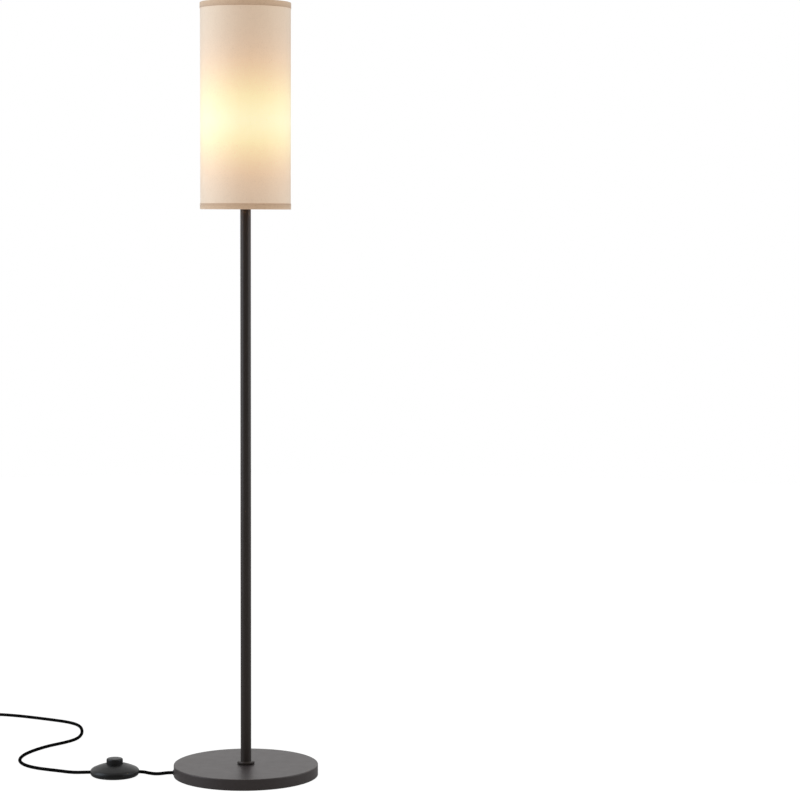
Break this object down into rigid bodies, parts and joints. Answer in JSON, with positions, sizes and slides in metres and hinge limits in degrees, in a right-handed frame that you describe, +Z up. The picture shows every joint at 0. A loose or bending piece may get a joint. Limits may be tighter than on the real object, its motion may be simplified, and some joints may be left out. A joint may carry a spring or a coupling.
{
  "type": "floor lamp",
  "caption": "Column floor lamp: tall linen drum shade on a slim tube pole, round weighted foot, inline foot switch and mains lead.",
  "frame": {"origin": "centre of the round foot, on the floor", "axes": "+Z up along the pole; the lead leaves the foot towards -X"},
  "size_m": [0.8843, 0.955, 1.595],
  "materials": {
    "pole_paint": "satin dark bronze paint",
    "base_paint": "fine matt dark bronze powder coat",
    "cast": "rough casting, sealed inside",
    "zinc": "bright zinc plate",
    "foam": "matt non-slip rubber",
    "black_rubber": "soft black rubber",
    "cord_black": "black PVC sheath, satin",
    "wire_insulation": "brown wire insulation",
    "nylon": "moulded nylon",
    "holder_black": "phenolic moulding",
    "brass": "bare brass",
    "bulb_diffuser": "opal diffuser, lit warm white",
    "bulb_housing": "white housing",
    "bulb_nickel": "nickel plate",
    "bulb_black_glass": "black glass insulator",
    "linen": "natural slub linen, lit from inside",
    "liner": "white styrene film",
    "hem_tape": "bias-cut linen tape",
    "frame_wire": "white enamelled wire",
    "switch_black": "satin black moulding",
    "spring_steel": "spring wire",
    "plug_black": "moulded plug",
    "tie_black": "soft strap"
  },
  "bodies": {
    "stand": {"base_cover": "base_paint", "base_weight": "cast", "base_plate": "zinc", "base_pad": "foam", "plate_spacers": "zinc", "plate_screws": "zinc", "base_grommet": "black_rubber", "base_lead": "cord_black", "cord_clamp": "nylon", "clamp_screw": "zinc", "base_washer": "zinc", "base_lock_washer": "zinc", "base_nut": "zinc", "base_rod": "zinc", "pole_lower": "pole_paint", "pole_middle": "pole_paint", "pole_upper": "pole_paint", "pole_bushes": "zinc", "joint_rods": "zinc", "pole_collar": "pole_paint", "pole_wires": "wire_insulation", "socket_cap": "holder_black", "socket_rod": "zinc", "socket_body": "holder_black", "socket_screw_shell": "brass", "socket_contact": "brass", "socket_terminals": "brass", "shade_ring_nut": "holder_black", "switch_base": "switch_black", "switch_cover": "switch_black", "switch_block": "nylon", "switch_terminals": "brass", "switch_leads": "cord_black", "switch_bushes": "black_rubber", "switch_feet": "black_rubber", "switch_screws": "zinc", "switch_spring": "spring_steel", "cord_base_to_switch": "cord_black", "cord_coil": "cord_black", "cord_switch_to_coil": "cord_black", "cord_tail": "cord_black", "coil_tie": "tie_black", "plug_body": "plug_black", "plug_relief": "plug_black", "plug_blades": "brass"},
    "bulb_carrier": {"bulb_contact": "bulb_nickel"},
    "bulb": {"bulb_dome": "bulb_diffuser", "bulb_body": "bulb_housing", "bulb_cap": "bulb_nickel", "bulb_insulator": "bulb_black_glass"},
    "shade": {"shade_fabric": "linen", "shade_liner": "liner", "shade_top_wire": "frame_wire", "shade_fitter": "frame_wire", "shade_hem_top": "hem_tape", "shade_hem_bottom": "hem_tape"},
    "button": {"switch_button": "switch_black"}
  },
  "joints": [
    {"name": "bulb_lift", "type": "slide", "parent": "stand", "child": "bulb_carrier", "axis": [0, 0, 1], "range_m": [0, 0.0128]},
    {"name": "bulb_screw", "type": "hinge", "parent": "bulb_carrier", "child": "bulb", "pos_m": [0, 0, 1.3], "axis": [0, 0, 1], "range_deg": [0, 1260]},
    {"name": "shade_turn", "type": "hinge", "parent": "stand", "child": "shade", "pos_m": [0, 0, 1.27], "axis": [0, 0, 1], "continuous": true},
    {"name": "button_press", "type": "slide", "parent": "stand", "child": "button", "axis": [0, 0, -1], "range_m": [0, 0.004], "stiffness_N_per_m": 1200, "springref_m": -0.003, "deforming": ["switch_spring"]}
  ],
  "couplings": [
    {"joint": "bulb_lift", "follows": "bulb_screw", "m_per_rad": 0.00057757}
  ]
}
